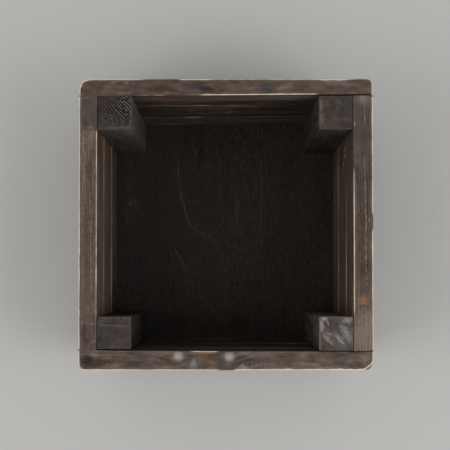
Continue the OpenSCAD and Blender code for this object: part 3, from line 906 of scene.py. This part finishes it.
FRONT_LEFT_MARKS = {
    "dark": [(-112, -102.6, 14, .9, .16), (-104, -107.4, 7, 1, .2, -5), (-129, -118, 4, 10, .1),
        (-120, -119, 5, 4, .13), (-104, -114, 4, 5, .13), (-115, -111, 5, 2.4, .12)],
    "light": [*[(-126.4 + 2.1 * k, -97.2 + 0.3 * (k % 3), .6, 2, .75) for k in range(14)],
        (-120, -104.4, 12, 1, .36), (-106, -105.8, 9, 1, .36, -5), (-98, -113, 1.6, 18, .26),
        (-108, -121, 5, 4, .13), (-124, -113, 4, 3, .14), (-114, -127, 6, 2, .13)],
    "grey": [(-114, -116, 26, 20, .6)],
    "saw": [(-113, -96.6, 17, 3, 1), (-114, -116, 20, 10, .22)],
}
FRONT_RIGHT_MARKS = {
    "pale": [(101.5, -97.5, 4.8, 3.6, .95), (98.8, -104.5, 3.6, 9, .95), (105, -101.5, 4.6, 1.5, .9, -66),
        (125, -99.5, 8, 5.4, .85), (123.8, -112.5, 15, 5.6, .9, -64), (117.5, -118.5, 12, 3.8, .88, -50),
        (105.5, -119, 10, 3.2, .84, -47), (107, -113.6, 9, 2.6, .8, -20)],
    "dark": [(110.5, -104.5, 8, 5.6, .16), (100, -126, 5, 6, .14)],
    "light": [(116, -114, 18, 14, .16)],
    "grey": [(110, -106, 12, 10, .9)],
    "red": [(122, -112, 10, 14, .5)],
    "saw": [(117, -115, 18, 13, .45), (124, -106, 8, 12, .5)],
}
post_finish = stained_wood(
    "stained_posts", POST_SHADES, 2.4, 0.22, 0.68, 0.00035, (0.30, 0.26, 0.23), 0.75,
    (0.060, 0.038, 0.028), 0.12, sawn=(0.150, 0.135, 0.123),
    chalk=((0.085, 0.075, 0.069), (0.215, 0.192, 0.180)))


def post_gap(points, normals):
    """The front left post stands off the front wall: its front face is 1.6 mm further in."""
    points[:, 1] += 1.6 * (1 - smooth(points[:, 1], -131, -118))


def post(name, seed, pith, marks, saw, rim_wear, lift, sides, skew=None):
    """One post in place of its CAD node. saw is the spacing and slant of the saw's strokes, and
    rim_wear is that of the four arrises at its top. lift and sides shade the end and the sides."""

    def post_stain_and_shade(points, normals):
        """Stain on a post, with painted shade: its end as given, its sides by their stain and darker towards
        the floor.
        """
        end = np.maximum(normals[:, 2], 0) ** 2
        # Painted shade: the sides darken from the rim down to the floor, where less light reaches.
        return end * lift + (1 - end) * (sides + np.interp(points[:, 2], [0, 203], [-0.08, 0.1]))

    piece = timber(
        name, (2, 0, 1), 2.0, 0.65, seed, pith, {k: [(0, .05), (120, .12), (203, .2)] for k in range(4)},
        ((0.05, 0.35), (1, 1), (1, 1)), rim_wear=rim_wear, saw=saw, marks=marks, tone=post_stain_and_shade,
        skew=skew, groove=0.2, calm=0.45)
    piece.data.materials.append(post_finish.material)


post("post_back_left", 51, (20, -34), BACK_LEFT_MARKS, saw=(2.5, 45), rim_wear=(.1, .3, .3, .2),
     lift=-0.20, sides=0.32)
post("post_back_right", 52, (-46, 30), BACK_RIGHT_MARKS, saw=(2.3, 80), rim_wear=(.2, .1, .25, .1),
     lift=-0.03, sides=-0.04)
post("post_front_left", 53, (16, -58), FRONT_LEFT_MARKS, saw=(1.9, 3), rim_wear=(.1, .28, .15, .28),
     lift=-0.06, sides=-0.20, skew=post_gap)
post("post_front_right", 54, (-60, -18), FRONT_RIGHT_MARKS, saw=(2.4, 38), rim_wear=(.4, .2, .1, .3),
     lift=0.18, sides=0.22)

# Base: one panel of seven-ply under the walls and posts, stained almost black. Its face grain
# runs from front to back, with reddish streaks, and two long scratches cross it.
BASE_SHADES = [(0.05, (0.0056, 0.0044, 0.0037)), (0.4, (0.0128, 0.0100, 0.0079)),
               (0.65, (0.0240, 0.0188, 0.0148)), (0.95, (0.0600, 0.0465, 0.0365))]
PLY_THICKNESS = 1.8143
BASE_MARKS = {
    "pale": [(97, -36, 4.5, 1, .5, -12), (68.4, -64, 2.6, 1, .35), (40, -111, 4, 1.8, .3),
        (31, -107, 2.8, 1.2, .35), (11.3, -70, 2, 1.4, .35), (85, -81.7, 3.2, 1, .25),
        (-2, -76, 1.4, 3.4, .25), (12, -116, 4, 1, .25), (38, -117, 10, 3, .3), (20, -121, 9, 2, .28),
        (62, -122, 10, 1.6, .28), (127, -92.7, 5, .9, .42), (121, -82, 5, .9, .38),
        (84.6, 19.3, 6, .9, .36), (117, 96.8, 7, 1, .4), (124.8, 9.1, 4.5, .9, .36), (60, -74, 4, .8, .3),
        (96, -66, 4, .8, .3), (8, 60, 5, .8, .3), (66, 28, 5, .8, .26), (-129.6, -3, 1.2, 12, .4),
        (-129.6, -32, 1.2, 6, .3)],
    "amber": [(38, 31, 34, .9, .55, 2), (88, 42, 14, .8, .52), (42, 59, 20, .8, .52, -2)],
    "dark": [(124, -41, 12, 20, .14), (-112, -30, 18, 80, .16), (110, -20, 20, 60, .1),
        (112, -60, 16, 36, .1)],
    "light": [(36, -112, 9, 6, .26), (90, -120, 50, 8, .08), (-20, 20, 90, 36, .06), (40, -118, 34, 9, .18),
        (52, -54.6, 26, 3.6, .18, -10), (6, -36, 18, 4, .16, -50), (40, 50, 80, 40, .05),
        (-129.4, -14, 1.5, 34, .5)],
    "grey": [(20, -112, 60, 12, .5), (124, -41, 12, 20, 1.2), (0, -100, 180, 60, 1.1),
        (-110, 0, 40, 110, .6)],
    "red": [(78, -58, 14, 2.4, 1.7), (21, -47.6, 10, 2.4, 1.7, -14), (56, -128, 10, 2.4, .8),
        (46, 17, 38, 2.2, 1, -5), (30, 12.6, 15, 2.2, 1.5), (58, 44.5, 42, 2.4, .9),
        (26, 42.6, 13, 1.8, 1.4), (20, 90, 110, 12, .3), (10, 112, 90, 6, .4), (-6, -14, 12, 9, .5),
        (44, -112, 60, 10, .35), (96, -58, 20, 14, .4), (67, -45, 5, 4, .9), (30, 13.9, 19, 1.8, 1.5),
        (80, 59.5, 14, 3, .8), (74, 80, 12, 4, .7), (16, 106, 5, 7, .8), (34, -51, 12, 3, 1, -12)],
}
BASE_TRACKS = [
    (0.45, (91, -58.4), (72.7, -57.8), (56.7, -55.9)),
    (0.95, (56.7, -55.9), (42, -53.5), (29.7, -49.8), (17.4, -46.1), (10.1, -42.4)),
    (0.75, (8, -40), (3.9, -37.5), (2.7, -31.4), (-1, -22.8), (-4.6, -15.4), (-10.8, -12.3)),
    (0.85, (-15.7, -63.9), (-25.5, -58.4), (-36.6, -52.2), (-46.4, -47.3), (-56.2, -43.0), (-62.3, -40)),
    (0.75, (-73.4, -32.6), (-79.5, -28.9), (-84.4, -25.2)),
    (0.35, (-84.4, -25.2), (-94.2, -15.4), (-105.3, -4.4), (-114, .5)),
    (0.42, (92, 43.4), (60, 44.0), (30, 44.8), (9, 42.8)), (0.32, (48, 13.6), (12, 14.2)),
]
EDGE_APART = 64.6
base_nails = [(y, x) for x in (-123.55, 122.05) for y in (-121.05, 124.05)]
base_nails += [(y, -0.75 + k * EDGE_APART) for y in (-141.0, 142.5) for k in (-1, 0, 1)]
base_nails += [(1.5 + k * EDGE_APART, x) for x in (-143.0, 142.25) for k in (-1, 0, 1)]
ply_finish = stained_wood(
    "stained_plywood", BASE_SHADES, 11.0, 0.05, 0.62, 0.0002, (0.080, 0.063, 0.050), 1.2,
    (0.040, 0.0205, 0.0155), 0.08,
    fine=1.8, mottle=0.35, flecks=0.5, ply=(PLY_THICKNESS, (0.046, 0.034, 0.027), (0.006, 0.0045, 0.0038)))


def base_tone(points, normals):
    """Stain on the base: the underside and edges are lighter, as bought and then stained once."""
    return 0.3 * np.maximum(-normals[:, 2], 0) ** 2 + 0.25 * (1 - normals[:, 2] ** 2)


piece = timber(
    "base_panel", (1, 0, 2), 2.16, 2.16, seed=61, pith=(31.0, 420.0),
    wear={k: [(-150, .3), (0, .45), (150, .3)] for k in range(4)},
    free=((0.4, 0.4), (0.4, 0.4), (0.25, 0.2)), nails=base_nails, outer=-1,
    knocks=[((x, y), CORNER_ROUND, 2.0, 14) for y in (-1, 1) for x in (-1, 1)],
    marks=BASE_MARKS, tracks=BASE_TRACKS, tone=base_tone, groove=0.06)
piece.data.materials.append(ply_finish.material)

# Nails: flat-headed steel nails, two through each board into each post and more through the
# base, driven just below the surface and gone dull, with rust round their heads.
NAIL_SEGMENTS = 28
NAIL_PROFILE = [(0.7, .17), (1.4, .15), (2.1, .09), (2.7, 0), (3.02, -.14), (3.2, -.34), (3.24, -.6),
                (3.18, -.9), (2.9, -1.12), (1.9, -1.25), (1.42, -1.5), (1.38, -3)]
NAIL_TIP, HEAD_DENT, HEAD_DEPTH = 4.0, 0.06, 0.06
nail_finish = Finish("old_nail")
place = nail_finish.add("ShaderNodeTexCoord", {}, {}, "Object")
rust = nail_finish.noise(place, (420, 420, 420), 4, 0.65)
scale = nail_finish.noise(place, (1500, 1500, 1500), 3, 0.6)
rusty = nail_finish.fade(rust + (scale - 0.5) * 0.4, 0.46, 0.66)
steel = nail_finish.blend(scale, (0.085, 0.082, 0.08), (0.19, 0.185, 0.18))
scale_bump = nail_finish.add("ShaderNodeBump", {}, {
    "Strength": 0.5, "Distance": 0.00012, "Height": rust + scale * 0.5})
nail_finish.put(nail_finish.shader, {
    "Base Color": nail_finish.blend(rusty, steel, (0.10, 0.042, 0.02)), "Metallic": 0.9 - rusty * 0.85,
    "Roughness": 0.42 + rusty * 0.4 + scale * 0.1, "Normal": scale_bump})


def nails(node, places, axis, outward):
    """One mesh of all nails of a CAD node: for each, the profile turned round its axis, with
    a slightly oval, dented head. Places are the two coordinates across the axis."""
    low, high = (np.array(corner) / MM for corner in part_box(node))
    face = high[axis] if outward > 0 else low[axis]
    length = high[axis] - low[axis]
    profile = np.array(NAIL_PROFILE + [(1.38, NAIL_TIP - length), (0.5, 0.8 - length)])
    turn = np.linspace(0, 2 * np.pi, NAIL_SEGMENTS, endpoint=False)
    rng = np.random.default_rng(len(places) + axis)
    count, rings = len(places), len(profile)
    oval = 1 - 0.03 * rng.random((count, 1, 1)) * (1 + np.cos(2 * turn + 6 * rng.random((count, 1, 1))))
    reach = profile[:, 0][None, :, None] * oval
    dent = HEAD_DENT * np.cos(turn + 6 * rng.random((count, 1, 1))) * (profile[:, 0] / 3)[None, :, None]
    height = profile[:, 1][None, :, None] + dent * (profile[:, 1] > -1)[None, :, None] - HEAD_DEPTH
    ring = np.stack([reach * np.cos(turn), reach * np.sin(turn), np.broadcast_to(height, reach.shape)], -1)
    ends = np.zeros((count, 2, 3))
    ends[:, 0, 2], ends[:, 1, 2] = 0.1, -length + 0.1
    local = np.concatenate([ring.reshape(count, -1, 3), ends], 1)
    across = [k for k in range(3) if k != axis]
    points = np.zeros(local.shape)
    points[..., across[0]] = np.array(places)[:, None, 0] + local[..., 0]
    points[..., across[1]] = np.array(places)[:, None, 1] + local[..., 1]
    points[..., axis] = face + outward * np.minimum(local[..., 2], 0)
    start = (np.arange(count) * local.shape[1])[:, None, None]
    here, after = np.arange(NAIL_SEGMENTS), np.roll(np.arange(NAIL_SEGMENTS), -1)
    row = (np.arange(rings - 1) * NAIL_SEGMENTS)[:, None]
    under = row + NAIL_SEGMENTS
    barrel = np.stack([row + here, under + here, under + after, row + after], -1)
    last = (rings - 1) * NAIL_SEGMENTS
    crown = np.stack([here, after, np.full(NAIL_SEGMENTS, rings * NAIL_SEGMENTS)], -1)
    tip = np.stack([last + after, last + here, np.full(NAIL_SEGMENTS, rings * NAIL_SEGMENTS + 1)], -1)
    faces = (start + barrel.reshape(1, -1, 4)).reshape(-1, 4).tolist()
    faces += (start + np.concatenate([crown, tip])[None]).reshape(-1, 3).tolist()
    turned_out = outward > 0 if axis != 1 else outward < 0
    if not turned_out:
        faces = [face_corners[::-1] for face_corners in faces]
    mesh = bpy.data.meshes.new("driven_" + node)
    mesh.from_pydata((points.reshape(-1, 3) * MM).tolist(), [], faces)
    mesh.polygons.foreach_set("use_smooth", np.ones(len(faces), bool))
    mesh.materials.append(nail_finish.material)
    piece = bpy.data.objects.new("driven_" + node, mesh)
    scene.collection.objects.link(piece)
    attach(piece, "root")
    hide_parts(node)


for side, axis, outward in (("front", 1, -1), ("back", 1, 1), ("left", 0, -1), ("right", 0, 1)):
    rows = [nail_rows(side, course) for course in COURSES]
    nails(f"nails_{side}", sum(rows, []), axis, outward)
nails("nails_base", [(x, y) for y, x in base_nails], 2, -1)
